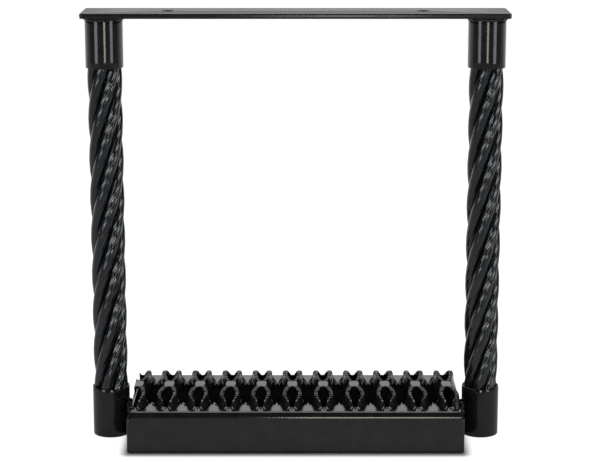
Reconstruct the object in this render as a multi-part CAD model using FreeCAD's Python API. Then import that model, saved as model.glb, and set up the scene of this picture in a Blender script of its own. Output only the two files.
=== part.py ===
import FreeCAD, Part
import math
import os

# Cable truck step: a plate that bolts under a truck bed, two wire ropes swaged in ferrules, and a serrated tread.
# Millimetres. The origin is the middle of the plate's top face, +Z is up, and -Y is the side a foot comes from.

Vector = FreeCAD.Vector
UP = Vector(0, 0, 1)
ORIGIN = Vector(0, 0, 0)

# Whole step
OVERALL_HEIGHT = 393.7

# Mounting plate
PLATE_OVERHANG = 2.05
PLATE_DEPTH = 50.8
PLATE_THICKNESS = 4.76
PLATE_CORNER = 2.0
PLATE_EDGE = 0.6
BOLT_SPACING = 228.6
BOLT_HOLE = 11.1

# Ferrules
FERRULE_DIAMETER = 34.0
FERRULE_WALL = 1.2
FERRULE_LENGTH = 46.0

# Wire ropes, six strands in right-hand lay
ROPE_CLEARANCE = 0.15
STRANDS = 6
LAY_ANGLE = 17.0
CROWN_HALF_ANGLE = 38.0
STEPS_A_LAY = 20

# Tread, a channel pressed from one sheet with two rows of raised loops
TREAD_LENGTH = 304.8
TREAD_DEPTH = 120.65
TREAD_HEIGHT = 38.1
TREAD_GAP = 2.05
SHEET = 2.7
BEND_RADIUS = 5.5

# Raised pattern, measured from the middle of one loop column and from the flat margin's top
LOOP_PITCH = 28.575
LOOP_OFFSET = -3.1
CAP_HEIGHT = 8.0
CAP_HALF_WIDTH = 4.6
CAP_HALF_LENGTH = 7.5
LOOP_END_HALF_WIDTH = 3.2
RIM_HEIGHT = 11.0
RIM_HALF_WIDTH = 6.2
RIM_FROM_NECK = 18.5
NECK_HALF_WIDTH = 2.6
NECK_FROM_BEND = 5.325
SLOT_HALF_WIDTH = 5.6
SLOT_FROM_NECK = 21.5
SLOT_DROP = 2.6
TOOTH_DEPTH = 1.3
INNER_TEETH = 5
OUTER_TEETH = 4

# End plates of the tread
END_PLATE = 3.175
END_PLATE_DROP = 4.6
END_PLATE_CORNER = 4.0

# Weld beads
PLATE_WELD_LEG = 5.5
PLATE_WELD_WIDTH = 1.9
TREAD_WELD_REACH = 9.0
TREAD_WELD_ROOT = 2.5

# Sizes that follow
ROPE_SPACING = TREAD_LENGTH + 2 * TREAD_GAP + FERRULE_DIAMETER
PLATE_LENGTH = ROPE_SPACING + FERRULE_DIAMETER + 2 * PLATE_OVERHANG
PLATE_UNDERSIDE = -PLATE_THICKNESS
FLOOR = -OVERALL_HEIGHT
MARGIN_TOP = FLOOR + TREAD_HEIGHT
FERRULE_RADIUS = FERRULE_DIAMETER / 2
BORE_RADIUS = FERRULE_RADIUS - FERRULE_WALL
ROPE_RADIUS = BORE_RADIUS - ROPE_CLEARANCE
ROPE_LENGTH = PLATE_UNDERSIDE - FLOOR
CHANNEL_LENGTH = TREAD_LENGTH - 2 * END_PLATE
HALF_DEPTH = TREAD_DEPTH / 2
MARGIN_EDGE = HALF_DEPTH - BEND_RADIUS
NECK_PLACE = MARGIN_EDGE - NECK_FROM_BEND
RIM_PLACE = NECK_PLACE - RIM_FROM_NECK
SLOT_HALF_LENGTH = NECK_PLACE - SLOT_FROM_NECK
SIDES = {"left": -1, "right": 1}


def export(name, shape):
    """Writes one piece to its own file."""
    shape.exportStep("parts/" + name + ".step")


def box_between(low, high):
    """A block between two opposite corners."""
    size = high - low
    return Part.makeBox(size.x, size.y, size.z, low)


def mounting_plate():
    """A flat bar with rounded corners, broken edges and two bolt holes on its centre line."""
    low = Vector(-PLATE_LENGTH / 2, -PLATE_DEPTH / 2, PLATE_UNDERSIDE)
    plate = Part.makeBox(PLATE_LENGTH, PLATE_DEPTH, PLATE_THICKNESS, low)
    upright = [e for e in plate.Edges if abs(e.tangentAt(e.FirstParameter).z) > 0.5]
    plate = plate.makeFillet(PLATE_CORNER, upright)
    rims = [e for face in plate.Faces if abs(face.normalAt(0, 0).z) > 0.5 for e in face.Edges]
    plate = plate.makeChamfer(PLATE_EDGE, rims)
    for side in SIDES.values():
        bottom = Vector(side * BOLT_SPACING / 2, 0, PLATE_UNDERSIDE)
        plate = plate.cut(Part.makeCylinder(BOLT_HOLE / 2, PLATE_THICKNESS, bottom))
    return plate


def ferrule(side, bottom):
    """A plain tube that is swaged on one end of a rope."""
    place = Vector(side * ROPE_SPACING / 2, 0, bottom)
    tube = Part.makeCylinder(FERRULE_RADIUS, FERRULE_LENGTH, place)
    return tube.cut(Part.makeCylinder(BORE_RADIUS, FERRULE_LENGTH, place))


def rope_corners():
    """Radius and angle of each corner of the rope's section: two on a strand's crown and one in each valley."""
    packing = math.sin(math.pi / STRANDS) * math.cos(math.radians(LAY_ANGLE))
    strand_circle = ROPE_RADIUS / (1 + packing)
    crown_reach = (ROPE_RADIUS - strand_circle) * math.tan(math.radians(CROWN_HALF_ANGLE))
    crown_turn = math.atan(crown_reach / ROPE_RADIUS)
    valley = strand_circle * math.cos(math.pi / STRANDS)
    corners = []
    for strand in range(STRANDS):
        middle = 2 * math.pi * strand / STRANDS
        corners.append((ROPE_RADIUS, middle - crown_turn))
        corners.append((ROPE_RADIUS, middle + crown_turn))
        corners.append((valley, middle + math.pi / STRANDS))
    return corners, 2 * math.pi * strand_circle / math.tan(math.radians(LAY_ANGLE))


def rope(side):
    """Six strands laid round each other, drawn in flat facets between sections that turn with the lay."""
    corners, lay_length = rope_corners()
    steps = math.ceil(ROPE_LENGTH / lay_length * STEPS_A_LAY)
    rings = []
    for step in range(steps + 1):
        rise = ROPE_LENGTH * step / steps
        turn = 2 * math.pi * rise / lay_length
        ring = []
        for radius, angle in corners:
            across = Vector(math.cos(angle + turn), math.sin(angle + turn), 0) * radius
            ring.append(across + Vector(side * ROPE_SPACING / 2, 0, FLOOR + rise))
        rings.append(ring)
    faces = [flat_face(rings[0]), flat_face(rings[-1])]
    for lower, upper in zip(rings, rings[1:]):
        for corner in range(len(corners)):
            after = (corner + 1) % len(corners)
            faces.append(flat_face([lower[corner], lower[after], upper[corner]]))
            faces.append(flat_face([lower[after], upper[after], upper[corner]]))
    shell = Part.makeShell(faces)
    shell.sewShape()
    return Part.makeSolid(shell)


def flat_face(points):
    """A flat face with these corners."""
    return Part.Face(Part.makePolygon(points + [points[0]]))


def serrated(start, end, inside, teeth):
    """Points from start to end along a rim that is cut into teeth, with the roots towards a point inside the face."""
    along = (end - start) / teeth
    normal = along.cross(inside - start)
    inward = normal.cross(along).normalize() * TOOTH_DEPTH
    points = [start]
    for tooth in range(teeth):
        points.append(start + along * (tooth + 0.5) + inward)
        points.append(start + along * (tooth + 1))
    return points


def quarter_cell():
    """Top faces of a quarter of one loop column: cap, twisted strip with its serrated rim, and flat margin."""
    half_pitch = LOOP_PITCH / 2
    cap_middle = Vector(0, 0, CAP_HEIGHT)
    cap_side = Vector(CAP_HALF_WIDTH, 0, CAP_HEIGHT)
    loop_end = Vector(0, CAP_HALF_LENGTH, CAP_HEIGHT)
    loop_corner = Vector(LOOP_END_HALF_WIDTH, CAP_HALF_LENGTH, CAP_HEIGHT)
    rim_peak = Vector(RIM_HALF_WIDTH, RIM_PLACE, RIM_HEIGHT)
    neck = Vector(NECK_HALF_WIDTH, NECK_PLACE, 0)
    neck_middle = Vector(0, NECK_PLACE, 0)
    slot_side = Vector(half_pitch - SLOT_HALF_WIDTH, 0, -SLOT_DROP)
    slot_end = Vector(half_pitch, SLOT_HALF_LENGTH, 0)
    margin_corner = Vector(half_pitch, MARGIN_EDGE, 0)
    margin_middle = Vector(0, MARGIN_EDGE, 0)
    inner_rim = serrated(loop_corner, rim_peak, slot_end, INNER_TEETH)
    outer_rim = serrated(rim_peak, neck, slot_end, OUTER_TEETH)
    return [
        flat_face([cap_middle, cap_side, loop_corner, loop_end]),
        flat_face([cap_side, slot_side, loop_corner]),
        flat_face([slot_side, slot_end, loop_corner]),
        flat_face(inner_rim + [slot_end]),
        flat_face(outer_rim + [slot_end]),
        flat_face([neck_middle, neck, slot_end, margin_corner, margin_middle]),
    ]


def loop_column():
    """One whole loop column as a solid of the sheet's thickness."""
    down = Vector(0, 0, -SHEET)
    quarter = [face.extrude(down) for face in quarter_cell()]
    quarter = quarter[0].multiFuse(quarter[1:])
    half = quarter.fuse(quarter.mirror(ORIGIN, Vector(0, 1, 0)))
    return half.fuse(half.mirror(ORIGIN, Vector(1, 0, 0))).removeSplitter()


def side_wall():
    """The front wall of the channel with its bend, along the whole pattern."""
    outside = Vector(0, -HALF_DEPTH, MARGIN_TOP)
    inner_radius = BEND_RADIUS - SHEET
    centre = Vector(0, -MARGIN_EDGE, MARGIN_TOP - BEND_RADIUS)
    slant = Vector(0, -math.sqrt(0.5), math.sqrt(0.5))
    outer_top = centre + Vector(0, 0, BEND_RADIUS)
    outer_side = centre + Vector(0, -BEND_RADIUS, 0)
    inner_top = centre + Vector(0, 0, inner_radius)
    inner_side = centre + Vector(0, -inner_radius, 0)
    outer_foot = Vector(0, outside.y, FLOOR)
    inner_foot = Vector(0, outside.y + SHEET, FLOOR)
    edges = [
        Part.Arc(outer_top, centre + slant * BEND_RADIUS, outer_side).toShape(),
        Part.makeLine(outer_side, outer_foot),
        Part.makeLine(outer_foot, inner_foot),
        Part.makeLine(inner_foot, inner_side),
        Part.Arc(inner_side, centre + slant * inner_radius, inner_top).toShape(),
        Part.makeLine(inner_top, outer_top),
    ]
    wall = Part.Face(Part.Wire(edges)).extrude(Vector(CHANNEL_LENGTH, 0, 0))
    wall.translate(Vector(-CHANNEL_LENGTH / 2, 0, 0))
    return wall


def tread():
    """The pressed channel: a row of loop columns between two bent walls, cut off at its ends."""
    column = loop_column()
    first = math.floor((-CHANNEL_LENGTH / 2 - LOOP_OFFSET) / LOOP_PITCH)
    last = math.ceil((CHANNEL_LENGTH / 2 - LOOP_OFFSET) / LOOP_PITCH)
    columns = []
    for number in range(first, last + 1):
        copy = column.copy()
        copy.translate(Vector(LOOP_OFFSET + number * LOOP_PITCH, 0, MARGIN_TOP))
        columns.append(copy)
    low = Vector(-CHANNEL_LENGTH / 2, -TREAD_DEPTH, FLOOR)
    high = Vector(CHANNEL_LENGTH / 2, TREAD_DEPTH, MARGIN_TOP + RIM_HEIGHT)
    deck = columns[0].multiFuse(columns[1:]).common(box_between(low, high))
    front = side_wall()
    back = front.mirror(ORIGIN, Vector(0, 1, 0))
    return deck.multiFuse([front, back]).removeSplitter()


def end_plate(side):
    """A plate that closes one end of the channel, a little lower than its top."""
    inner = side * CHANNEL_LENGTH / 2
    outer = side * TREAD_LENGTH / 2
    low = Vector(min(inner, outer), -HALF_DEPTH, FLOOR)
    high = Vector(max(inner, outer), HALF_DEPTH, MARGIN_TOP - END_PLATE_DROP)
    plate = box_between(low, high)
    corners = []
    for edge in plate.Edges:
        if abs(edge.tangentAt(edge.FirstParameter).x) > 0.5 and edge.CenterOfMass.z > FLOOR + END_PLATE:
            corners.append(edge)
    return plate.makeFillet(END_PLATE_CORNER, corners)


def plate_weld(side):
    """The fillet bead round an upper ferrule, under the plate."""
    inner = FERRULE_RADIUS
    corner = Vector(inner, 0, PLATE_UNDERSIDE)
    toe = Vector(inner + PLATE_WELD_WIDTH, 0, PLATE_UNDERSIDE)
    foot = Vector(inner, 0, PLATE_UNDERSIDE - PLATE_WELD_LEG)
    bead = flat_face([corner, toe, foot]).revolve(ORIGIN, UP, 360)
    bead.translate(Vector(side * ROPE_SPACING / 2, 0, 0))
    return bead


def tread_weld(side, face):
    """The upright bead that fills the gap between a lower ferrule and the tread's end plate."""
    middle = side * ROPE_SPACING / 2
    wall = side * TREAD_LENGTH / 2
    near = face * TREAD_WELD_ROOT
    far = face * TREAD_WELD_REACH
    low = Vector(min(middle, wall), min(near, far), FLOOR)
    high = Vector(max(middle, wall), max(near, far), MARGIN_TOP - END_PLATE_DROP)
    ferrule_room = Part.makeCylinder(FERRULE_RADIUS, TREAD_HEIGHT, Vector(middle, 0, FLOOR))
    return box_between(low, high).cut(ferrule_room)


os.makedirs("parts", exist_ok=True)
export("mounting_plate", mounting_plate())
export("tread", tread())
for side_name, direction in SIDES.items():
    export("upper_" + side_name + "_ferrule", ferrule(direction, PLATE_UNDERSIDE - FERRULE_LENGTH))
    export("lower_" + side_name + "_ferrule", ferrule(direction, FLOOR))
    export(side_name + "_rope", rope(direction))
    export(side_name + "_end_plate", end_plate(direction))
    export("upper_" + side_name + "_weld", plate_weld(direction))
    export("lower_" + side_name + "_front_weld", tread_weld(direction, -1))
    export("lower_" + side_name + "_back_weld", tread_weld(direction, 1))
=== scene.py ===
"""Dresses the cable truck step: coated plate, laid ropes, serrated loop tread, weld beads and the studio."""
import logging
import math
from collections.abc import Iterator
from contextlib import contextmanager
from dataclasses import dataclass
from enum import Enum
from functools import cached_property
from typing import Any

import bmesh
import bpy
import numpy as np
from mathutils import Matrix, Vector


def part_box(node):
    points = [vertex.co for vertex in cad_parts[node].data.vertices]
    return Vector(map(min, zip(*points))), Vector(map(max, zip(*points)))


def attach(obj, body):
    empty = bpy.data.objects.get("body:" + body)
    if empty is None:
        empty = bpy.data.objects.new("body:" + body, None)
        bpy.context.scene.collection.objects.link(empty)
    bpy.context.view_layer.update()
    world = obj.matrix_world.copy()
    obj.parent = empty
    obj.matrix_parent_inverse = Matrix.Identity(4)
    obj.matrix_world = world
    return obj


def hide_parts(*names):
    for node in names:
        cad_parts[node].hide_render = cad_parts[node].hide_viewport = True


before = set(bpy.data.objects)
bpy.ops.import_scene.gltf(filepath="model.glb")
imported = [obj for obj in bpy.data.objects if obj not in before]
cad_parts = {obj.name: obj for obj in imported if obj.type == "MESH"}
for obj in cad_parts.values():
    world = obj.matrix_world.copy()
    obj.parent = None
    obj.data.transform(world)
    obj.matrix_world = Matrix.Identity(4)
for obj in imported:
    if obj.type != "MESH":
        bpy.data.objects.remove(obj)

log = logging.getLogger("cable_truck_step")

Pair = tuple[float, float]
Triple = tuple[float, float, float]

MM = 0.001
SIDES = ("left", "right")
WHITE = (1.0, 1.0, 1.0, 1.0)


class Slot(Enum):
    """The material slots of the record."""

    PLATE = "plate_coat"
    TREAD = "tread_coat"
    FERRULE = "ferrule_coat"
    ROPE = "rope_coat"
    WELD = "weld_coat"


class Lie(Enum):
    """How a plate lies: flat across Z or upright across X."""

    FLAT = "flat"
    UPRIGHT = "upright"


@dataclass(frozen=True)
class Fade:
    """A value that changes from one level to another between two places."""

    start: float
    stop: float
    at_start: float
    at_stop: float


class NodeTree:
    """A tree whose nodes are added with their inputs and settings in one call."""

    def __init__(self, tree: bpy.types.NodeTree) -> None:
        """Keeps the tree that gets the nodes."""
        self.tree = tree

    def node(self, kind: str, inputs: dict[Any, Any], **settings: Any) -> bpy.types.Node:
        """Adds a node.

        Args:
            kind: The node's type.
            inputs: A value or a socket for each input, by name or by place.
            settings: Properties of the node.

        Returns:
            The new node.
        """
        made = self.tree.nodes.new(kind)
        for name, value in settings.items():
            setattr(made, name, value)
        self.fill(made, inputs)
        return made

    def fill(self, node: bpy.types.Node, inputs: dict[Any, Any]) -> None:
        """Sets or links the inputs of a node.

        Args:
            node: The node whose inputs are filled.
            inputs: A value or a socket for each input, by name or by place.
        """
        for key, value in inputs.items():
            if isinstance(value, bpy.types.NodeSocket):
                self.tree.links.new(value, node.inputs[key])
            else:
                node.inputs[key].default_value = value

    def maths(self, operation: str, first: Any, second: Any) -> Any:
        """Adds an operation on two values and returns its result's socket."""
        return self.node("ShaderNodeMath", {0: first, 1: second}, operation=operation).outputs[0]

    def vector(self, operation: str, inputs: dict[Any, Any]) -> bpy.types.Node:
        """Adds an operation on vectors and returns its node."""
        return self.node("ShaderNodeVectorMath", inputs, operation=operation)


class ShaderTree(NodeTree):
    """The tree of a material or of the world."""

    def place(self) -> Any:
        """Adds the object coordinates, in metres, and returns their socket."""
        return self.node("ShaderNodeTexCoord", {}).outputs["Object"]

    def noise(self, place: Any, size: float, detail: float) -> Any:
        """Adds a noise.

        Args:
            place: The socket with the coordinates in metres.
            size: The wave size in millimetres.
            detail: How many finer layers are added.

        Returns:
            The noise's value socket.
        """
        inputs = {"Vector": place, "Scale": 1.0 / (size * MM), "Detail": detail}
        return self.node("ShaderNodeTexNoise", inputs).outputs[0]

    def fade(self, value: Any, fade: Fade, curve: str = "LINEAR") -> Any:
        """Adds a fade.

        Args:
            value: The socket with the place.
            fade: The places and levels between which it changes.
            curve: How it changes between them.

        Returns:
            The level's socket.
        """
        made = self.node("ShaderNodeMapRange", {
            "Value": value, "From Min": fade.start, "From Max": fade.stop,
            "To Min": fade.at_start, "To Max": fade.at_stop}, interpolation_type=curve)
        return made.outputs["Result"]

    def seen_rays(self) -> Any:
        """Adds a value that tells the rays that see the background.

        Returns:
            A socket that is 1 for camera, glossy and transmission rays.
        """
        rays = self.node("ShaderNodeLightPath", {})
        mirrored = self.maths("MAXIMUM", rays.outputs["Is Camera Ray"], rays.outputs["Is Glossy Ray"])
        return self.maths("MAXIMUM", mirrored, rays.outputs["Is Transmission Ray"])

    def white_to_camera(self, level: Any) -> Any:
        """Raises a level to 1 for camera rays and returns the result's socket."""
        rays = self.node("ShaderNodeLightPath", {})
        return self.maths("MAXIMUM", level, rays.outputs["Is Camera Ray"])


@dataclass(frozen=True)
class PowderCoat:
    """A black powder coat with orange peel, small nibs and patches of duller sheen.

    Lengths are in millimetres and colours are linear. A span is the part of a noise over which the
    coat changes, and a detail is how many finer layers a noise has.
    """

    name: str
    deep: Triple
    worn: Triple
    gloss: float
    dull: float
    peel_size: float
    peel_height: float
    nib_size: float
    nib_height: float
    index: float = 1.45
    sheen_size: float = 55.0
    sheen_detail: float = 4.0
    sheen_span: Pair = (0.35, 0.68)
    tone_size: float = 9.0
    tone_detail: float = 5.0
    tone_span: Pair = (0.38, 0.74)
    peel_detail: float = 1.0
    nib_detail: float = 2.0

    def material(self) -> bpy.types.Material:
        """Builds the coat's material on object coordinates.

        Returns:
            The finished material.
        """
        made = bpy.data.materials.new(self.name)
        made.use_nodes = True
        tree = ShaderTree(made.node_tree)
        place = tree.place()
        sheen = tree.fade(tree.noise(place, self.sheen_size, self.sheen_detail),
                          Fade(*self.sheen_span, self.gloss, self.dull))
        tone = tree.node("ShaderNodeValToRGB", {"Fac": tree.noise(place, self.tone_size, self.tone_detail)})
        for stop, spot, colour in zip(tone.color_ramp.elements, self.tone_span, (self.deep, self.worn)):
            stop.position = spot
            stop.color = (*colour, 1.0)
        peel = tree.node("ShaderNodeBump", {
            "Distance": self.peel_height * MM,
            "Height": tree.noise(place, self.peel_size, self.peel_detail)})
        nibs = tree.node("ShaderNodeBump", {
            "Distance": self.nib_height * MM,
            "Height": tree.noise(place, self.nib_size, self.nib_detail),
            "Normal": peel.outputs["Normal"]})
        tree.fill(made.node_tree.nodes["Principled BSDF"], {
            "IOR": self.index, "Roughness": sheen, "Base Color": tone.outputs["Color"],
            "Normal": nibs.outputs["Normal"]})
        return made


PLATE_COAT = PowderCoat(
    "plate coat", deep=(0.008, 0.009, 0.008), worn=(0.014, 0.015, 0.013), gloss=0.18, dull=0.26,
    peel_size=2.6, peel_height=0.03, nib_size=0.7, nib_height=0.006)
TREAD_COAT = PowderCoat(
    "tread coat", deep=(0.007, 0.008, 0.007), worn=(0.013, 0.014, 0.012), gloss=0.07, dull=0.11,
    peel_size=2.4, peel_height=0.03, nib_size=0.7, nib_height=0.006, index=1.52)
FERRULE_COAT = PowderCoat(
    "ferrule coat", deep=(0.006, 0.007, 0.006), worn=(0.012, 0.013, 0.011), gloss=0.08, dull=0.13,
    peel_size=3.0, peel_height=0.03, nib_size=0.8, nib_height=0.005)
ROPE_COAT = PowderCoat(
    "rope coat", deep=(0.004, 0.005, 0.006), worn=(0.010, 0.011, 0.014), gloss=0.07, dull=0.13,
    peel_size=2.2, peel_height=0.10, nib_size=0.9, nib_height=0.05, index=1.65)
WELD_COAT = PowderCoat(
    "weld coat", deep=(0.009, 0.009, 0.010), worn=(0.018, 0.018, 0.019), gloss=0.14, dull=0.26,
    peel_size=1.8, peel_height=0.08, nib_size=0.6, nib_height=0.02)


def add_object(name: str, data: Any) -> bpy.types.Object:
    """Makes an object and links it to the scene.

    Args:
        name: The object's name.
        data: Its mesh, curve, light or camera.

    Returns:
        The object.
    """
    made = bpy.data.objects.new(name, data)
    bpy.context.scene.collection.objects.link(made)
    return made


def mesh_object(name: str, points: Any, edges: Any, faces: Any) -> bpy.types.Object:
    """Makes a mesh object and links it to the scene.

    Args:
        name: The object's name.
        points: The points in metres.
        edges: The edges that belong to no face, as places in the list of points.
        faces: The faces, as places in the list of points.

    Returns:
        The object.
    """
    mesh = bpy.data.meshes.new(name)
    mesh.from_pydata([tuple(map(float, point)) for point in points], edges, faces)
    return add_object(name, mesh)


def plain_mesh(obj: bpy.types.Object) -> bpy.types.Mesh:
    """Turns an object, as its modifiers or its curve settings leave it, into a plain mesh."""
    graph = bpy.context.evaluated_depsgraph_get()
    return bpy.data.meshes.new_from_object(obj.evaluated_get(graph))


def ring_faces(rings: int, around: int, closed: bool = False) -> list[tuple[int, ...]]:
    """Lists the faces between rings of points that follow each other.

    Args:
        rings: How many rings there are.
        around: How many points each ring has.
        closed: Whether the last ring also joins the first.

    Returns:
        The faces, as places in the list of points.
    """
    faces = []
    for ring in range(rings if closed else rings - 1):
        here = ring * around
        there = (ring + 1) % rings * around
        for step in range(around):
            after = (step + 1) % around
            faces.append((here + step, there + step, there + after, here + after))
    return faces


@contextmanager
def edited(obj: bpy.types.Object) -> Iterator[bmesh.types.BMesh]:
    """Opens an object's mesh for editing and writes it back at the end.

    Args:
        obj: The object whose mesh is edited.

    Yields:
        The mesh to edit.
    """
    shape = bmesh.new()
    shape.from_mesh(obj.data)
    yield shape
    shape.to_mesh(obj.data)
    shape.free()


def tidy_mesh(obj: bpy.types.Object, merge: float, crease: float) -> None:
    """Merges doubled points, turns the faces outward and shades the mesh smooth.

    Args:
        obj: The object to tidy.
        merge: The distance within which points become one, in millimetres.
        crease: The angle, in degrees, above which an edge stays sharp.
    """
    with edited(obj) as shape:
        bmesh.ops.remove_doubles(shape, verts=shape.verts, dist=merge * MM)
        bmesh.ops.dissolve_degenerate(shape, edges=shape.edges, dist=merge * MM)
        bmesh.ops.recalc_face_normals(shape, faces=shape.faces)
        for face in shape.faces:
            face.smooth = True
        for edge in shape.edges:
            if len(edge.link_faces) == 2 and edge.calc_face_angle(0.0) > math.radians(crease):
                edge.smooth = False


def cut_square(obj: bpy.types.Object, place: float, way: float) -> None:
    """Cuts a mesh off square across X and closes the cut.

    Args:
        obj: The object to cut.
        place: Where the cut is, in metres.
        way: The side that goes, 1 for what is beyond and -1 for what is before.
    """
    with edited(obj) as shape:
        everything = shape.verts[:] + shape.edges[:] + shape.faces[:]
        cut = bmesh.ops.bisect_plane(shape, geom=everything, plane_co=(place, 0.0, 0.0),
                                     plane_no=(way, 0.0, 0.0), clear_outer=True)
        rim = [item for item in cut["geom_cut"] if isinstance(item, bmesh.types.BMEdge)]
        drop_scraps(shape)
        rim = [edge for edge in rim if edge.is_valid]
        closed = bmesh.ops.holes_fill(shape, edges=rim)
        bmesh.ops.triangulate(shape, faces=closed["faces"], ngon_method="EAR_CLIP")
        for edge in rim:
            edge.smooth = False
        bmesh.ops.recalc_face_normals(shape, faces=shape.faces)


def drop_scraps(shape: bmesh.types.BMesh) -> None:
    """Deletes what isn't joined to the largest part of a mesh.

    Args:
        shape: The mesh that is being edited.
    """
    left = set(shape.verts)
    groups = []
    while left:
        front = [left.pop()]
        group = list(front)
        while front:
            vert = front.pop()
            near = {edge.other_vert(vert) for edge in vert.link_edges} & left
            left -= near
            front += near
            group += near
        groups.append(group)
    groups.sort(key=len)
    scraps = [vert for group in groups[:-1] for vert in group]
    bmesh.ops.delete(shape, geom=scraps, context="VERTS")


def keep(obj: bpy.types.Object, node: str, coat: bpy.types.Material) -> None:
    """Gives a finished piece its coat and puts it in a node's place.

    Args:
        obj: The finished piece.
        node: The construction node that it replaces.
        coat: The piece's material.
    """
    obj.data.materials.clear()
    obj.data.materials.append(coat)
    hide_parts(node)
    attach(obj, "root")
    log.info("%s replaces %s with %d faces", obj.name, node, len(obj.data.polygons))


class NodeGroup(NodeTree):
    """A Geometry Nodes tree with named inputs, baked to a plain mesh."""

    def __init__(self, name: str) -> None:
        """Starts a tree that takes a geometry and a material and gives a geometry.

        Args:
            name: The tree's name.
        """
        super().__init__(bpy.data.node_groups.new(name, "GeometryNodeTree"))
        self.start = self.node("NodeGroupInput", {})
        self.end = self.node("NodeGroupOutput", {})
        self.tree.interface.new_socket("Geometry", in_out="OUTPUT", socket_type="NodeSocketGeometry")
        self.geometry = self.entry("Geometry", "NodeSocketGeometry")
        self.coat = self.entry("Material", "NodeSocketMaterial")

    def entry(self, name: str, kind: str = "NodeSocketFloat") -> Any:
        """Adds a named input and returns its socket inside the tree."""
        self.tree.interface.new_socket(name, in_out="INPUT", socket_type=kind)
        return self.start.outputs[name]

    def close(self, geometry: Any) -> None:
        """Ends the tree with realised instances that carry the material.

        Args:
            geometry: The socket with the finished geometry.
        """
        solid = self.node("GeometryNodeRealizeInstances", {"Geometry": geometry})
        dressed = self.node("GeometryNodeSetMaterial",
                            {"Geometry": solid.outputs["Geometry"], "Material": self.coat})
        self.fill(self.end, {"Geometry": dressed.outputs["Geometry"]})

    def bake(self, obj: bpy.types.Object, values: dict[str, Any]) -> None:
        """Runs the tree on an object and leaves the result as its plain mesh.

        Args:
            obj: The object whose mesh goes in and is replaced.
            values: A value for each named input.
        """
        modifier = obj.modifiers.new(self.tree.name, "NODES")
        modifier.node_group = self.tree
        for item in self.tree.interface.items_tree:
            if item.in_out == "INPUT" and item.name in values:
                modifier[item.identifier] = values[item.name]
        result = plain_mesh(obj)
        obj.modifiers.remove(modifier)
        obj.data = result


@dataclass
class Plate:
    """A flat bar with rounded corners, eased edges and round holes.

    Lengths are in millimetres. An upright plate is an end plate: its outer edges are rounded, its
    inner face is square where it meets the tread, and its lower corners can be sharper.
    """

    node: str
    slot: Slot
    lie: Lie
    corner: float
    lower_corner: float
    edge: float
    holes: tuple[float, ...] = ()
    hole: float = 0.0
    hole_sides: int = 48
    corner_points: int = 7
    edge_steps: int = 2
    merge: float = 0.01
    crease: float = 40.0

    def build(self, coat: bpy.types.Material) -> bpy.types.Object:
        """Builds and dresses the plate inside its node's box.

        Args:
            coat: The plate's material.

        Returns:
            The plate.
        """
        low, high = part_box(self.node)
        middle = (low + high) / 2
        size = high - low
        if self.lie is Lie.FLAT:
            piece = add_object(self.node + "_coated", self.slab(size.x, size.y, size.z))
            piece.data.transform(Matrix.Translation(middle))
            tidy_mesh(piece, self.merge, self.crease)
        else:
            # Built twice as thick and cut in half, so that only the outer edges are rounded
            inward = -math.copysign(1.0, middle.x)
            inner_face = middle.x + inward * size.x / 2
            upright = Matrix(((0, 0, 1, inner_face), (1, 0, 0, middle.y), (0, 1, 0, middle.z), (0, 0, 0, 1)))
            piece = add_object(self.node + "_coated", self.slab(size.y, size.z, 2 * size.x))
            piece.data.transform(upright)
            tidy_mesh(piece, self.merge, self.crease)
            cut_square(piece, inner_face, inward)
        keep(piece, self.node, coat)
        return piece

    def slab(self, width: float, depth: float, thick: float) -> bpy.types.Mesh:
        """Makes the plate's mesh, flat and round the origin.

        Args:
            width: The size along X, in metres.
            depth: The size along Y, in metres.
            thick: The size along Z, in metres.

        Returns:
            The mesh.
        """
        outline = bpy.data.curves.new(self.node + "_outline", "CURVE")
        outline.dimensions = "2D"
        outline.fill_mode = "BOTH"
        outline.extrude = thick / 2 - self.edge * MM
        outline.bevel_depth = self.edge * MM
        outline.bevel_resolution = self.edge_steps
        outline.offset = -self.edge * MM
        self.loop(outline, self.corners(width, depth))
        radius = self.hole / 2 * MM
        angles = np.linspace(0.0, -2 * math.pi, self.hole_sides, endpoint=False)
        for place in self.holes:
            self.loop(outline, [(place * MM + radius * math.cos(a), radius * math.sin(a)) for a in angles])
        flat = add_object(self.node + "_outline", outline)
        mesh = plain_mesh(flat)
        bpy.data.objects.remove(flat)
        return mesh

    def corners(self, width: float, depth: float) -> list[Pair]:
        """Lists the outline's points.

        Args:
            width: The size along X, in metres.
            depth: The size along Y, in metres.

        Returns:
            The points in metres, with a fillet at each corner.
        """
        points = []
        for start, sx, sy in ((0, 1, 1), (90, -1, 1), (180, -1, -1), (270, 1, -1)):
            bend = (self.corner if sy > 0 else self.lower_corner) * MM
            for angle in np.radians(np.linspace(start, start + 90, self.corner_points)):
                points.append((sx * (width / 2 - bend) + bend * math.cos(angle),
                               sy * (depth / 2 - bend) + bend * math.sin(angle)))
        return points

    @staticmethod
    def loop(outline: bpy.types.Curve, points: list[Pair]) -> None:
        """Adds a closed loop of straight pieces to an outline.

        Args:
            outline: The curve that gets the loop.
            points: The loop's points in metres.
        """
        spline = outline.splines.new("POLY")
        spline.points.add(len(points) - 1)
        for item, (x, y) in zip(spline.points, points):
            item.co = (x, y, 0.0, 1.0)
        spline.use_cyclic_u = True


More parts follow.
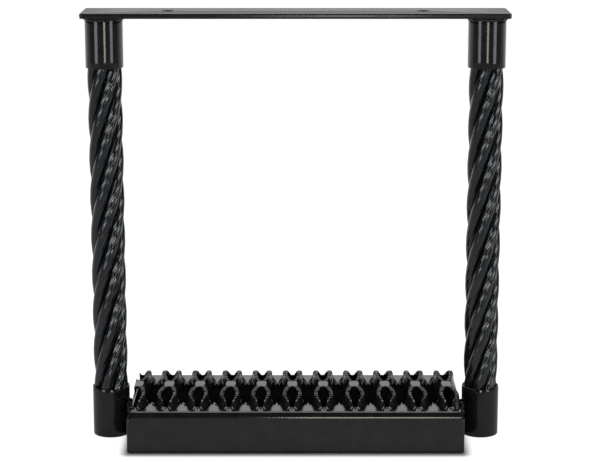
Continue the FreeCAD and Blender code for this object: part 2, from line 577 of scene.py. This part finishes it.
@dataclass
class Ferrule:
    """A swaged sleeve round a rope's end, with eased rims.

    Lengths are in millimetres. An eased rim is two short chamfers, which meet at a share of the ease
    from both faces.
    """

    node: str
    wall: float = 1.2
    ease: float = 0.5
    ease_middle: float = 0.3
    levels: int = 8
    sides: int = 128
    merge: float = 0.001
    crease: float = 50.0

    def build(self, coat: bpy.types.Material) -> bpy.types.Object:
        """Turns the sleeve's profile round its axis.

        Args:
            coat: The sleeve's material.

        Returns:
            The sleeve.
        """
        low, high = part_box(self.node)
        middle = (low + high) / 2
        outer = (high.x - low.x) / 2
        inner = outer - self.wall * MM
        ease = self.ease * MM
        part = self.ease_middle * ease
        profile = [(inner, low.z), (outer - ease, low.z), (outer - part, low.z + part),
                   (outer, low.z + ease)]
        profile += [(outer, z) for z in np.linspace(low.z, high.z, self.levels)[1:-1]]
        profile += [(outer, high.z - ease), (outer - part, high.z - part), (outer - ease, high.z),
                    (inner, high.z)]
        angles = np.linspace(0.0, 2 * math.pi, self.sides, endpoint=False)
        points = [(middle.x + r * math.cos(a), middle.y + r * math.sin(a), z)
                  for a in angles for r, z in profile]
        faces = ring_faces(self.sides, len(profile), closed=True)
        piece = mesh_object(self.node + "_coated", points, [], faces)
        tidy_mesh(piece, self.merge, self.crease)
        keep(piece, self.node, coat)
        return piece


@dataclass
class WireRope:
    """A six-strand wire rope in regular lay, whose wires run along the rope. Lengths are in millimetres."""

    node: str
    strands: int = 6
    wires: int = 14
    lay_angle: float = 17.0
    wire_dip: float = 0.2
    wire_turn: float = 100.0
    core: float = 6.0
    steps_a_turn: int = 80
    points_a_wire: int = 5
    core_sides: int = 24
    merge: float = 0.0001
    crease: float = 60.0

    def tree(self) -> NodeGroup:
        """Builds the tree that lays the strands round the core.

        Returns:
            The tree, ready to bake.
        """
        group = NodeGroup("laid rope")
        circle = group.entry("Strand Circle")
        radius = group.entry("Strand Radius")
        length = group.entry("Length")
        turns = group.entry("Turns")
        twist = group.entry("Wire Twist")
        dip = group.entry("Wire Dip")
        core = group.entry("Core Radius")
        wires = group.entry("Wires", "NodeSocketInt")
        strands = group.entry("Strands", "NodeSocketInt")
        path = group.node("GeometryNodeCurveSpiral", {
            "Resolution": self.steps_a_turn, "Rotations": turns, "Start Radius": circle,
            "End Radius": circle, "Height": length, "Reverse": True})
        factor = group.node("GeometryNodeSplineParameter", {}).outputs["Factor"]
        tilted = group.node("GeometryNodeSetCurveTilt", {
            "Curve": path.outputs["Curve"], "Tilt": group.maths("MULTIPLY", factor, twist)})
        star = group.node("GeometryNodeCurveStar", {
            "Points": wires, "Inner Radius": group.maths("SUBTRACT", radius, dip), "Outer Radius": radius})
        soft = group.node("GeometryNodeCurveSplineType", {"Curve": star.outputs["Curve"]},
                          spline_type="CATMULL_ROM")
        section = group.node("GeometryNodeResampleCurve", {
            "Curve": soft.outputs["Curve"], "Count": group.maths("MULTIPLY", wires, self.points_a_wire)})
        strand = group.node("GeometryNodeCurveToMesh", {
            "Curve": tilted.outputs["Curve"], "Profile Curve": section.outputs["Curve"], "Fill Caps": True})
        index = group.node("GeometryNodeInputIndex", {}).outputs["Index"]
        angle = group.maths("DIVIDE", group.maths("MULTIPLY", index, 2 * math.pi), strands)
        turn = group.node("ShaderNodeCombineXYZ", {"Z": angle})
        places = group.node("GeometryNodePoints", {"Count": strands})
        laid = group.node("GeometryNodeInstanceOnPoints", {
            "Points": places.outputs[0], "Instance": strand.outputs["Mesh"], "Rotation": turn.outputs[0]})
        top = group.node("ShaderNodeCombineXYZ", {"Z": length})
        axis = group.node("GeometryNodeCurvePrimitiveLine", {"End": top.outputs[0]})
        ring = group.node("GeometryNodeCurvePrimitiveCircle", {
            "Resolution": self.core_sides, "Radius": core})
        heart = group.node("GeometryNodeCurveToMesh", {
            "Curve": axis.outputs["Curve"], "Profile Curve": ring.outputs["Curve"], "Fill Caps": True})
        whole = group.node("GeometryNodeJoinGeometry", {"Geometry": laid.outputs["Instances"]})
        group.fill(whole, {"Geometry": heart.outputs["Mesh"]})
        group.close(whole.outputs["Geometry"])
        return group

    def build(self, group: NodeGroup, coat: bpy.types.Material) -> bpy.types.Object:
        """Lays the rope inside its node's box.

        Args:
            group: The tree that lays the strands.
            coat: The rope's material.

        Returns:
            The rope.
        """
        low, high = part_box(self.node)
        middle = (low + high) / 2
        outer = (high.x - low.x) / 2
        lay = math.radians(self.lay_angle)
        circle = outer / (1 + math.sin(math.pi / self.strands) * math.cos(lay))
        radius = outer - circle
        slant = radius * math.sin(lay)
        length = high.z - low.z - 2 * slant
        turns = length * math.tan(lay) / (2 * math.pi * circle)
        strand_length = length / math.cos(lay)
        wound = strand_length * math.sin(lay) * math.cos(lay) / circle
        twist = 2 * math.pi * strand_length / (self.wire_turn * MM) - wound
        piece = mesh_object(self.node + "_laid", [], [], [])
        group.bake(piece, {
            "Material": coat, "Strand Circle": circle, "Strand Radius": radius, "Length": length,
            "Turns": turns, "Wire Twist": twist, "Wire Dip": self.wire_dip * MM,
            "Core Radius": self.core * MM, "Wires": self.wires, "Strands": self.strands})
        piece.data.transform(Matrix.Translation((middle.x, middle.y, low.z + slant)))
        tidy_mesh(piece, self.merge, self.crease)
        keep(piece, self.node, coat)
        return piece


@dataclass
class Tread:
    """The channel-shaped tread, whose deck is pressed into rows of serrated loops.

    Lengths are in millimetres. Across is along X from a loop's middle, along is along Y from the
    tread's middle, and heights are above the flat margin. Two loops share the cap in the tread's
    middle. Each opens past the cap, is widest near its rim and closes at its neck. A strip leads
    down from the loop to its foot, and between two columns is a slot, then a flat triangle with a
    groove beside it.
    """

    node: str = "tread"
    height: float = 38.1
    sheet: float = 2.7
    bend: float = 5.5
    pitch: float = 28.575
    offset: float = -3.1
    cap_height: float = 9.0
    cap_width: float = 4.6
    cap_length: float = 7.5
    neck_from_bend: float = 5.3
    rim_from_neck: float = 18.5
    slot_from_neck: float = 21.5
    slot_drop: float = 2.6
    # Half widths of a loop's opening: at its two ends, and between them as place and width, with the
    # places counted from the tread's middle, from the rim and from the neck
    loop_end: float = 3.8
    inner_openings: tuple[Pair, ...] = ((14.0, 5.6), (22.0, 7.0))
    rim_openings: tuple[Pair, ...] = ((0.0, 8.0), (6.0, 8.1), (12.0, 6.1))
    neck_openings: tuple[Pair, ...] = ((-3.0, 3.9),)
    neck_width: float = 3.5
    # The half width from which a loop counts as open, the flat of its rim, and how far a cut edge of
    # the sheet bulges, as a share of the sheet
    open_width: float = 1.2
    rim_flat: float = 0.6
    edge_bulge: float = 0.08
    # Heights of a loop's crest as place and height, with the places counted in the same way
    inner_crests: tuple[Pair, ...] = ((20.0, 9.8),)
    rim_crests: tuple[Pair, ...] = ((0.0, 10.2), (6.0, 9.6), (12.0, 8.2))
    neck_crests: tuple[Pair, ...] = ((-3.0, 5.2), (0.0, 2.0), (3.0, 0.0))
    # The strip beside a flat triangle: places from the rim to the foot, and shares of crest and groove
    strip_steps: tuple[float, ...] = (0.16, 0.38, 0.85, 1.0)
    strip_crests: tuple[float, ...] = (0.5, 0.0, 0.0, 0.0)
    strip_grooves: tuple[float, ...] = (0.2, 1.0, 0.9, 0.0)
    strip_lean: float = 2.8
    foot_width: float = 9.2
    foot_power: float = 1.6
    groove: float = 4.5
    groove_power: float = 3.0
    # The teeth round a loop's rim, of which a share stands proud of the plain rim
    tooth: float = 2.1
    tooth_proud: float = 0.25
    tooth_pitch: float = 4.9
    rows_a_tooth: int = 8
    rows_a_notch: float = 2.2
    # Points, rows and tolerances of the mesh
    rim_points: int = 3
    flat_points: int = 2
    cap_rows: int = 4
    margin_rows: int = 3
    bend_rows: int = 7
    wall_rows: int = 5
    flush: float = 0.001
    column_merge: float = 0.002
    joint_merge: float = 0.02
    merge: float = 0.01
    crease: float = 35.0

    @cached_property
    def half_depth(self) -> float:
        """Gives half the depth of the tread's node."""
        low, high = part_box(self.node)
        return (high.y - low.y) / 2 / MM

    @cached_property
    def half_pitch(self) -> float:
        """Gives half a column's width."""
        return self.pitch / 2

    @cached_property
    def margin(self) -> float:
        """Gives where the flat margin ends and the bend begins."""
        return self.half_depth - self.bend

    @cached_property
    def neck(self) -> float:
        """Gives where a loop closes."""
        return self.margin - self.neck_from_bend

    @cached_property
    def rim(self) -> float:
        """Gives where a loop's crest is highest."""
        return self.neck - self.rim_from_neck

    @cached_property
    def slot_end(self) -> float:
        """Gives where a slot ends and a flat triangle begins."""
        return self.neck - self.slot_from_neck

    @cached_property
    def teeth(self) -> int:
        """Gives how many teeth a loop has on each side."""
        return round((self.neck - self.cap_length) / self.tooth_pitch)

    @cached_property
    def even(self) -> np.ndarray:
        """Gives evenly spaced places from a column's middle to its edge."""
        return np.linspace(0.0, self.half_pitch, self.rim_points + len(self.strip_steps) + self.flat_points)

    def build(self, coat: bpy.types.Material) -> bpy.types.Object:
        """Presses one column of loops, repeats it along the tread and trims the ends.

        Args:
            coat: The tread's material.

        Returns:
            The tread.
        """
        low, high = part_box(self.node)
        half = (high.x - low.x) / 2 / MM
        before = math.ceil((half + self.offset + self.half_pitch) / self.pitch)
        after = math.ceil((half - self.offset + self.half_pitch) / self.pitch)
        piece = self.column()
        self.tree().bake(piece, {
            "Material": coat, "Count": before + after + 1, "Pitch": self.pitch * MM,
            "Start": (self.offset - before * self.pitch) * MM, "Merge": self.joint_merge * MM})
        deck = low.z + self.height * MM
        piece.data.transform(Matrix.Translation(((low.x + high.x) / 2, (low.y + high.y) / 2, deck)))
        tidy_mesh(piece, self.merge, self.crease)
        cut_square(piece, low.x, -1.0)
        cut_square(piece, high.x, 1.0)
        keep(piece, self.node, coat)
        return piece

    @staticmethod
    def tree() -> NodeGroup:
        """Builds the tree that repeats a column at the pitch.

        Returns:
            The tree, ready to bake.
        """
        group = NodeGroup("loop columns")
        count = group.entry("Count", "NodeSocketInt")
        pitch = group.entry("Pitch")
        start = group.entry("Start")
        merge = group.entry("Merge")
        first = group.node("ShaderNodeCombineXYZ", {"X": start})
        step = group.node("ShaderNodeCombineXYZ", {"X": pitch})
        places = group.node("GeometryNodeMeshLine", {
            "Count": count, "Start Location": first.outputs[0], "Offset": step.outputs[0]}, mode="OFFSET")
        laid = group.node("GeometryNodeInstanceOnPoints", {
            "Points": places.outputs["Mesh"], "Instance": group.geometry})
        solid = group.node("GeometryNodeRealizeInstances", {"Geometry": laid.outputs["Instances"]})
        joined = group.node("GeometryNodeMergeByDistance", {
            "Geometry": solid.outputs["Geometry"], "Distance": merge})
        group.close(joined.outputs["Geometry"])
        return group

    def profile(self, first: list[Pair], rim: tuple[Pair, ...], neck: tuple[Pair, ...]) -> list[Pair]:
        """Puts a loop's sizes in order along the tread.

        Args:
            first: The sizes up to the rim, each after its place from the tread's middle.
            rim: The sizes near the rim, each after its place past it.
            neck: The sizes near the neck, each after its place past it.

        Returns:
            The sizes, each after its place from the tread's middle.
        """
        near_rim = [(self.rim + past, size) for past, size in rim]
        near_neck = [(self.neck + past, size) for past, size in neck]
        return first + near_rim + near_neck

    @cached_property
    def openings(self) -> list[Pair]:
        """Lists the half widths of a loop's opening, each after its place along the tread."""
        first = [(self.cap_length, self.loop_end), *self.inner_openings]
        return self.profile(first, self.rim_openings, (*self.neck_openings, (0.0, self.neck_width)))

    @cached_property
    def crests(self) -> list[Pair]:
        """Lists the heights of a loop's crest, each after its place along the tread."""
        first = [(0.0, self.cap_height), (self.cap_length, self.cap_height), *self.inner_crests]
        return self.profile(first, self.rim_crests, self.neck_crests)

    def opening(self, along: float) -> float:
        """Gives the half width of a loop's opening, which has round ends.

        Args:
            along: The place along the tread.

        Returns:
            The half width, 0 where there is no opening.
        """
        if not self.cap_length < along < self.neck:
            return 0.0
        wide = float(np.interp(along, *zip(*self.openings)))
        inner = min(1.0, (along - self.cap_length) / self.loop_end)
        outer = min(1.0, (self.neck - along) / self.neck_width)
        return wide * math.sqrt(1 - (1 - inner) ** 2) * math.sqrt(1 - (1 - outer) ** 2)

    def openness(self, along: float) -> float:
        """Gives how far a loop is open at a place along the tread, from 0 to 1."""
        return min(1.0, self.opening(along) / self.open_width)

    def shoulder(self, along: float) -> float:
        """Gives the half width at which a loop's cap or rim turns down.

        Args:
            along: The place along the tread.

        Returns:
            The half width, 0 past the neck.
        """
        if along < self.cap_length:
            return self.cap_width + (self.loop_end - self.cap_width) * along / self.cap_length
        if along < self.neck:
            rim = self.opening(along) + self.rim_flat * self.openness(along)
            return max(rim, self.loop_end - (along - self.cap_length))
        return 0.0

    def wave(self, along: float) -> float:
        """Gives how far a loop's rim stands proud for its teeth.

        Args:
            along: The place along the tread.

        Returns:
            The distance up the loop's slope, below 0 in the notches between the teeth.
        """
        share = (along - self.cap_length) / (self.neck - self.cap_length)
        if not 0.0 < share < 1.0:
            return 0.0
        phase = share * self.teeth
        notch = max(0.0, 1 - abs(phase - round(phase)) * self.rows_a_tooth / self.rows_a_notch)
        return (self.tooth_proud - notch) * self.tooth * self.openness(along)

    def deck_row(self, along: float) -> np.ndarray:
        """Lists a deck section's top points from the loop's middle to the column's edge.

        Args:
            along: The section's place along the tread.

        Returns:
            The points, each as across and height.
        """
        crest = float(np.interp(along, *zip(*self.crests)))
        shoulder = self.shoulder(along)
        if along < self.slot_end:
            foot = shoulder + self.strip_lean
            edge = foot
            flat = -self.slot_drop
            steps = np.linspace(0.0, 1.0, len(self.strip_steps) + 1)[1:]
            strip = crest + (flat - crest) * steps
        else:
            share = min(1.0, (along - self.slot_end) / (self.neck - self.slot_end))
            foot = self.half_pitch + (self.foot_width - self.half_pitch) * share ** self.foot_power
            edge = self.half_pitch
            flat = 0.0
            steps = np.array(self.strip_steps)
            valley = self.groove * (1 - share ** self.groove_power)
            strip = crest * np.array(self.strip_crests) - valley * np.array(self.strip_grooves)
        across = np.concatenate((
            np.linspace(self.opening(along), shoulder, self.rim_points),
            shoulder + (foot - shoulder) * steps,
            np.linspace(foot, edge, self.flat_points + 1)[1:]))
        spread = min(1.0, max(0.0, (along - self.neck) / (self.margin - self.neck)))
        across = across * (1 - spread) + self.even * spread
        height = np.concatenate(([crest] * self.rim_points, strip, [flat] * self.flat_points))
        return np.column_stack((across, height))

    def section(self, along: float) -> list[Triple]:
        """Lists a deck section's points right round the sheet.

        Args:
            along: The section's place along the tread.

        Returns:
            The top points outward, the slot edge, the underside points inward and the loop's edge.
        """
        uppers = self.deck_row(along)
        is_open = self.openness(along)
        has_slot = along < self.slot_end
        run = uppers[-self.flat_points - 1] - uppers[self.rim_points - 1]
        slope = run / np.hypot(*run)
        level = np.array((0.0, -1.0))
        normal = np.array((slope[1], -slope[0]))
        downs = [normal] * self.rim_points
        if is_open <= 0.0:
            turning = (level + normal) / np.linalg.norm(level + normal)
            downs = [level] * (self.rim_points - 1) + [turning]
        downs += [normal] * len(self.strip_steps) + [level] * self.flat_points
        uppers[:self.rim_points] -= slope * self.wave(along)
        unders = uppers + np.array(downs) * self.sheet
        unders[:self.rim_points - 1, 0] = np.maximum(0.0, unders[:self.rim_points - 1, 0])
        bulge = slope * self.edge_bulge * self.sheet
        inner = (uppers[0] + unders[0]) / 2 - bulge * is_open
        inner[0] = max(0.0, inner[0]) if is_open > 0.0 else 0.0
        outer = (uppers[-1] + unders[-1]) / 2 + bulge * has_slot
        if not has_slot:
            unders[-1, 0] = self.half_pitch
            outer[0] = self.half_pitch
        ring = np.vstack((uppers, outer, unders[::-1], inner))
        return [(float(x), along, float(z)) for x, z in ring]

    def rows(self) -> list[list[Triple]]:
        """Lists the sections from the tread's middle over the deck, round the bend and down the wall.

        Returns:
            The sections, each as points right round the sheet.
        """
        deck = list(np.linspace(0.0, self.cap_length, self.cap_rows + 1)[:-1])
        deck += list(np.linspace(self.cap_length, self.neck, self.teeth * self.rows_a_tooth + 1))
        deck += list(np.linspace(self.neck, self.margin, self.margin_rows + 1)[1:])
        made = [self.section(float(along)) for along in deck]
        path = []
        for angle in np.radians(np.linspace(0.0, 90.0, self.bend_rows + 1)[1:]):
            path.append((self.margin + self.bend * math.sin(angle), self.bend * (math.cos(angle) - 1),
                         math.sin(angle), math.cos(angle)))
        for height in np.linspace(-self.bend, -self.height, self.wall_rows + 1)[1:]:
            path.append((self.half_depth, float(height), 1.0, 0.0))
        for along, height, out, up in path:
            inward = (along - out * self.sheet, height - up * self.sheet)
            between = ((along + inward[0]) / 2, (height + inward[1]) / 2)
            ring = [(float(x), along, height) for x in self.even]
            ring.append((self.half_pitch, *between))
            ring += [(float(x), *inward) for x in self.even[::-1]]
            ring.append((0.0, *between))
            made.append(ring)
        return made

    def column(self) -> bpy.types.Object:
        """Builds one whole column of loops from its quarter.

        Returns:
            The column, centred on its own axis and open where it joins the next.
        """
        rows = self.rows()
        around = len(rows[0])
        quarter = np.array(rows).reshape(-1, 3)
        faces = ring_faces(len(rows), around)
        last = (len(rows) - 1) * around
        under = last + 2 * len(self.even)
        for step in range(len(self.even) - 1):
            faces.append((last + step, last + step + 1, under - step - 1, under - step))
        points = []
        panels = []
        for sx, sy in ((1, 1), (-1, 1), (1, -1), (-1, -1)):
            base = len(points)
            points += list(quarter * (sx, sy, 1.0) * MM)
            panels += [tuple(base + corner for corner in face) for face in faces]
        piece = mesh_object(self.node + "_pressed", points, [], panels)
        with edited(piece) as shape:
            bmesh.ops.remove_doubles(shape, verts=shape.verts, dist=self.column_merge * MM)
            bmesh.ops.dissolve_degenerate(shape, edges=shape.edges, dist=self.column_merge * MM)
            # A face with three corners on the middle plane is split, so that only its inner half goes
            creased = [face for face in shape.faces
                       if len(face.verts) == 4 and self.corners_at(face, 0.0) == 3]
            bmesh.ops.triangulate(shape, faces=creased)
            inside = [face for face in shape.faces for across in (0.0, self.half_pitch)
                      if self.corners_at(face, across) == len(face.verts)]
            bmesh.ops.delete(shape, geom=inside, context="FACES")
        return piece

    def corners_at(self, face: bmesh.types.BMFace, across: float) -> int:
        """Counts a face's corners that lie at a distance from the column's middle."""
        return sum(abs(abs(vert.co.x) - across * MM) < self.flush * MM for vert in face.verts)


@dataclass
class WeldBead:
    """A lumpy weld bead of drops laid along a path.

    Lengths are in millimetres. Each drop's size varies between the least and the most, and its
    place wanders.
    """

    node: str
    width: float
    tall: float
    spacing: float
    seed: int
    least: float = 0.82
    most: float = 1.08
    wander: Triple = (0.4, 0.4, 0.5)
    grain: float = 0.45
    band: float = 2.0
    drop_detail: int = 4
    # How far the path keeps inside the node's box, as shares of the drop or of the box's height
    end_gap: float = 1.5
    ring_inset: float = 1.4
    ring_drop: float = 0.38
    line_points: int = 12
    ring_points: int = 73
    merge: float = 0.001
    crease: float = 80.0

    def tree(self) -> NodeGroup:
        """Builds the tree that lays drops along a path and runs them together.

        Returns:
            The tree, ready to bake.
        """
        group = NodeGroup("weld drops")
        spacing = group.entry("Spacing")
        size = group.entry("Drop Size", "NodeSocketVector")
        least = group.entry("Least Scale", "NodeSocketVector")
        most = group.entry("Most Scale", "NodeSocketVector")
        wander = group.entry("Wander", "NodeSocketVector")
        seed = group.entry("Seed", "NodeSocketInt")
        grain = group.entry("Grain")
        band = group.entry("Band")
        path = group.node("GeometryNodeMeshToCurve", {"Mesh": group.geometry})
        places = group.node("GeometryNodeCurveToPoints", {
            "Curve": path.outputs["Curve"], "Length": spacing}, mode="LENGTH")
        vary = group.node("FunctionNodeRandomValue", {"Min": least, "Max": most, "Seed": seed},
                          data_type="FLOAT_VECTOR")
        scale = group.vector("MULTIPLY", {0: size, 1: vary.outputs["Value"]})
        back = group.vector("SCALE", {0: wander, "Scale": -1.0})
        shift = group.node("FunctionNodeRandomValue", {
            "Min": back.outputs["Vector"], "Max": wander, "Seed": seed}, data_type="FLOAT_VECTOR")
        moved = group.node("GeometryNodeSetPosition", {
            "Geometry": places.outputs["Points"], "Offset": shift.outputs["Value"]})
        drop = group.node("GeometryNodeMeshIcoSphere", {"Radius": 1.0, "Subdivisions": self.drop_detail})
        laid = group.node("GeometryNodeInstanceOnPoints", {
            "Points": moved.outputs["Geometry"], "Instance": drop.outputs["Mesh"],
            "Rotation": places.outputs["Rotation"], "Scale": scale.outputs["Vector"]})
        solid = group.node("GeometryNodeRealizeInstances", {"Geometry": laid.outputs["Instances"]})
        body = group.node("GeometryNodeMeshToVolume", {
            "Mesh": solid.outputs["Geometry"], "Voxel Size": grain, "Interior Band Width": band},
            resolution_mode="VOXEL_SIZE")
        skin = group.node("GeometryNodeVolumeToMesh", {
            "Volume": body.outputs["Volume"], "Voxel Size": grain}, resolution_mode="VOXEL_SIZE")
        group.close(skin.outputs["Mesh"])
        return group

    def path(self) -> list[Triple]:
        """Lists the points of the bead's path.

        Returns:
            A ring for a flat box and an upright line for a tall one, in metres.
        """
        low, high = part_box(self.node)
        middle = (low + high) / 2
        if high.z - low.z > high.x - low.x:
            gap = self.end_gap * self.tall * MM
            heights = np.linspace(low.z + gap, high.z - gap, self.line_points)
            return [(middle.x, middle.y, height) for height in heights]
        radius = (high.x - low.x) / 2 - self.ring_inset * self.width * MM
        height = high.z - self.ring_drop * (high.z - low.z)
        angles = np.linspace(0.0, 2 * math.pi, self.ring_points)
        return [(middle.x + radius * math.cos(a), middle.y + radius * math.sin(a), height) for a in angles]

    def build(self, group: NodeGroup, coat: bpy.types.Material) -> bpy.types.Object:
        """Lays the bead along its path.

        Args:
            group: The tree that lays the drops.
            coat: The bead's material.

        Returns:
            The bead.
        """
        points = self.path()
        edges = [(place, place + 1) for place in range(len(points) - 1)]
        piece = mesh_object(self.node + "_laid", points, edges, [])
        group.bake(piece, {
            "Material": coat, "Spacing": self.spacing * MM, "Seed": self.seed, "Grain": self.grain * MM,
            "Band": self.band * MM, "Drop Size": Vector((self.width, self.width, self.tall)) * MM,
            "Least Scale": [self.least] * 3, "Most Scale": [self.most] * 3,
            "Wander": Vector(self.wander) * MM})
        tidy_mesh(piece, self.merge, self.crease)
        keep(piece, self.node, coat)
        return piece


@dataclass(frozen=True)
class Softbox:
    """A rectangular soft light. Lengths are in metres and the power is in watts."""

    name: str
    place: Triple
    width: float
    height: float
    power: float
    tint: Triple

    def hang(self, aim: Triple) -> None:
        """Hangs the light so that it faces a point.

        Args:
            aim: The point that it faces.
        """
        light = bpy.data.lights.new(self.name, "AREA")
        light.shape = "RECTANGLE"
        light.size = self.width
        light.size_y = self.height
        light.energy = self.power
        light.color = self.tint
        lamp = add_object(self.name, light)
        lamp.location = self.place
        lamp.rotation_euler = (Vector(aim) - Vector(self.place)).to_track_quat("-Z", "Y").to_euler()


SOFTBOXES = (
    Softbox("back softbox", (0.0, 1.1, 1.2), width=1.6, height=0.8, power=9.0, tint=(1.0, 1.0, 0.97)),
    Softbox("left softbox", (-1.25, -1.15, 0.2), width=0.55, height=1.6, power=11.5, tint=(0.88, 0.94, 1.0)),
    Softbox("right softbox", (1.25, -1.15, 0.2), width=0.55, height=1.6, power=11.5, tint=(0.88, 0.94, 1.0)),
    Softbox("front strip", (0.15, -2.1, -0.10), width=0.36, height=0.56, power=5.0, tint=(0.98, 1.0, 0.86)))


@dataclass
class Studio:
    """The pale floor, the soft lights, the white surround and the camera.

    Lengths are in metres. One fade dims the floor's emission close to the tread, as a painted soft shadow.
    The
    others dim what the coats mirror: the floor towards the front, and the surround away from behind, high up
    and low down.
    """

    camera_place: Triple = (0.0040, -1.650, 0.170)
    camera_drop: float = 11.57
    lens: float = 111.0
    sensor: float = 36.0
    shift: float = -0.06
    aim: Triple = (0.0, 0.0, -0.2)
    floor_size: float = 12.0
    floor_grey: float = 0.30
    floor_roughness: float = 0.9
    # Painted shadow: the floor's emission fades from nothing at the tread's edge to 0.9, 14 mm away
    floor_painted_shadow: Fade = Fade(0.0, 0.014, 0.0, 0.90)
    floor_front: Fade = Fade(-0.6, 1.7, 0.06, 1.0)
    surround_light: float = 0.35
    surround_behind: Fade = Fade(0.50, 0.92, 0.05, 1.0)
    surround_above: Fade = Fade(0.35, 0.85, 1.0, 0.3)
    surround_rising: Fade = Fade(0.12, 0.24, 0.35, 1.0)

    def build(self) -> None:
        """Builds the floor, the lights, the surround and the camera."""
        self.floor()
        self.surround()
        for softbox in SOFTBOXES:
            softbox.hang(self.aim)
        self.camera()
        bpy.context.scene.view_settings.view_transform = "Standard"

    def floor(self) -> None:
        """Lays a white floor with a painted soft shadow close to the tread, where its emission fades."""
        low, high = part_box("tread")
        half = self.floor_size / 2
        corners = [(-half, -half, low.z), (half, -half, low.z), (half, half, low.z), (-half, half, low.z)]
        piece = mesh_object("studio_floor", corners, [], [(0, 1, 2, 3)])
        made = bpy.data.materials.new("studio floor")
        made.use_nodes = True
        tree = ShaderTree(made.node_tree)
        place = tree.place()
        # The emission fades to nothing close to the tread, a painted soft shadow that the camera and
        # reflections see
        painted_shadow_glow = tree.fade(self.distance(tree, place, high), self.floor_painted_shadow, "SMOOTHERSTEP")
        along = tree.node("ShaderNodeSeparateXYZ", {0: place}).outputs["Y"]
        front = tree.white_to_camera(tree.fade(along, self.floor_front))
        level = tree.maths("MULTIPLY", tree.seen_rays(), tree.maths("MULTIPLY", painted_shadow_glow, front))
        tree.fill(made.node_tree.nodes["Principled BSDF"], {
            "Base Color": (self.floor_grey, self.floor_grey, self.floor_grey, 1.0),
            "Roughness": self.floor_roughness, "Specular IOR Level": 0.0,
            "Emission Color": WHITE, "Emission Strength": level})
        piece.data.materials.append(made)

    @staticmethod
    def distance(tree: ShaderTree, place: Any, corner: Vector) -> Any:
        """Adds the distance on the floor from a rectangle round the origin.

        Args:
            tree: The tree that gets the nodes.
            place: The socket with the coordinates.
            corner: The rectangle's corner.

        Returns:
            The distance's socket.
        """
        size = tree.vector("ABSOLUTE", {0: place}).outputs[0]
        beyond = tree.vector("SUBTRACT", {0: size, 1: (corner.x, corner.y, 0.0)}).outputs[0]
        outside = tree.vector("MAXIMUM", {0: beyond}).outputs[0]
        level = tree.vector("MULTIPLY", {0: outside, 1: (1.0, 1.0, 0.0)}).outputs[0]
        return tree.vector("LENGTH", {0: level}).outputs["Value"]

    def surround(self) -> None:
        """Lights the scene evenly, with a white surround for the rays that see it."""
        world = bpy.data.worlds.new("studio surround")
        world.use_nodes = True
        tree = ShaderTree(world.node_tree)
        ray = tree.node("ShaderNodeTexCoord", {}).outputs["Generated"]
        way = tree.node("ShaderNodeSeparateXYZ", {0: ray})
        behind = tree.fade(way.outputs["Y"], self.surround_behind)
        above = tree.fade(way.outputs["Z"], self.surround_above)
        rising = tree.fade(way.outputs["Z"], self.surround_rising)
        mirrored = tree.maths("MULTIPLY", behind, tree.maths("MULTIPLY", above, rising))
        strength = tree.node("ShaderNodeMix", {
            "Factor": tree.seen_rays(), "A": self.surround_light, "B": tree.white_to_camera(mirrored)})
        tree.fill(world.node_tree.nodes["Background"], {
            "Color": WHITE, "Strength": strength.outputs["Result"]})
        bpy.context.scene.world = world

    def camera(self) -> None:
        """Places the camera in front of the step, a little above it and looking down."""
        data = bpy.data.cameras.new("camera")
        data.lens = self.lens
        data.sensor_width = self.sensor
        data.shift_y = self.shift
        camera = add_object("camera", data)
        camera.location = self.camera_place
        camera.rotation_euler = (math.radians(90.0 - self.camera_drop), 0.0, 0.0)
        bpy.context.scene.camera = camera


def weld_beads() -> list[WeldBead]:
    """Lists the weld beads: one under the plate and two beside the tread, on each side.

    Returns:
        The beads, each with a seed of its own.
    """
    beads = []
    for number, side in enumerate(SIDES):
        beads.append(WeldBead(f"upper_{side}_weld", width=1.7, tall=2.6, spacing=3.0, seed=11 + number))
        for face, first_seed in (("front", 21), ("back", 31)):
            beads.append(WeldBead(f"lower_{side}_{face}_weld", width=3.4, tall=3.4, spacing=3.2,
                                  seed=first_seed + number))
    return beads


def main() -> None:
    """Builds every piece of the step in order, then the studio."""
    logging.basicConfig(level=logging.INFO, format="%(message)s")
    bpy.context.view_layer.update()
    plate_coat = PLATE_COAT.material()
    tread_coat = TREAD_COAT.material()
    ferrule_coat = FERRULE_COAT.material()
    rope_coat = ROPE_COAT.material()
    weld_coat = WELD_COAT.material()
    Plate("mounting_plate", Slot.PLATE, Lie.FLAT, corner=2.6, lower_corner=2.6, edge=1.0,
          holes=(-114.3, 114.3), hole=11.1).build(plate_coat)
    for side in SIDES:
        Plate(f"{side}_end_plate", Slot.TREAD, Lie.UPRIGHT, corner=4.0, lower_corner=0.8,
              edge=2.4).build(tread_coat)
        Ferrule(f"upper_{side}_ferrule").build(ferrule_coat)
        Ferrule(f"lower_{side}_ferrule").build(ferrule_coat)
    ropes = [WireRope(f"{side}_rope") for side in SIDES]
    lay = ropes[0].tree()
    for rope in ropes:
        rope.build(lay, rope_coat)
    Tread().build(tread_coat)
    beads = weld_beads()
    drops = beads[0].tree()
    for bead in beads:
        bead.build(drops, weld_coat)
    Studio().build()


if __name__ == "__main__":
    main()
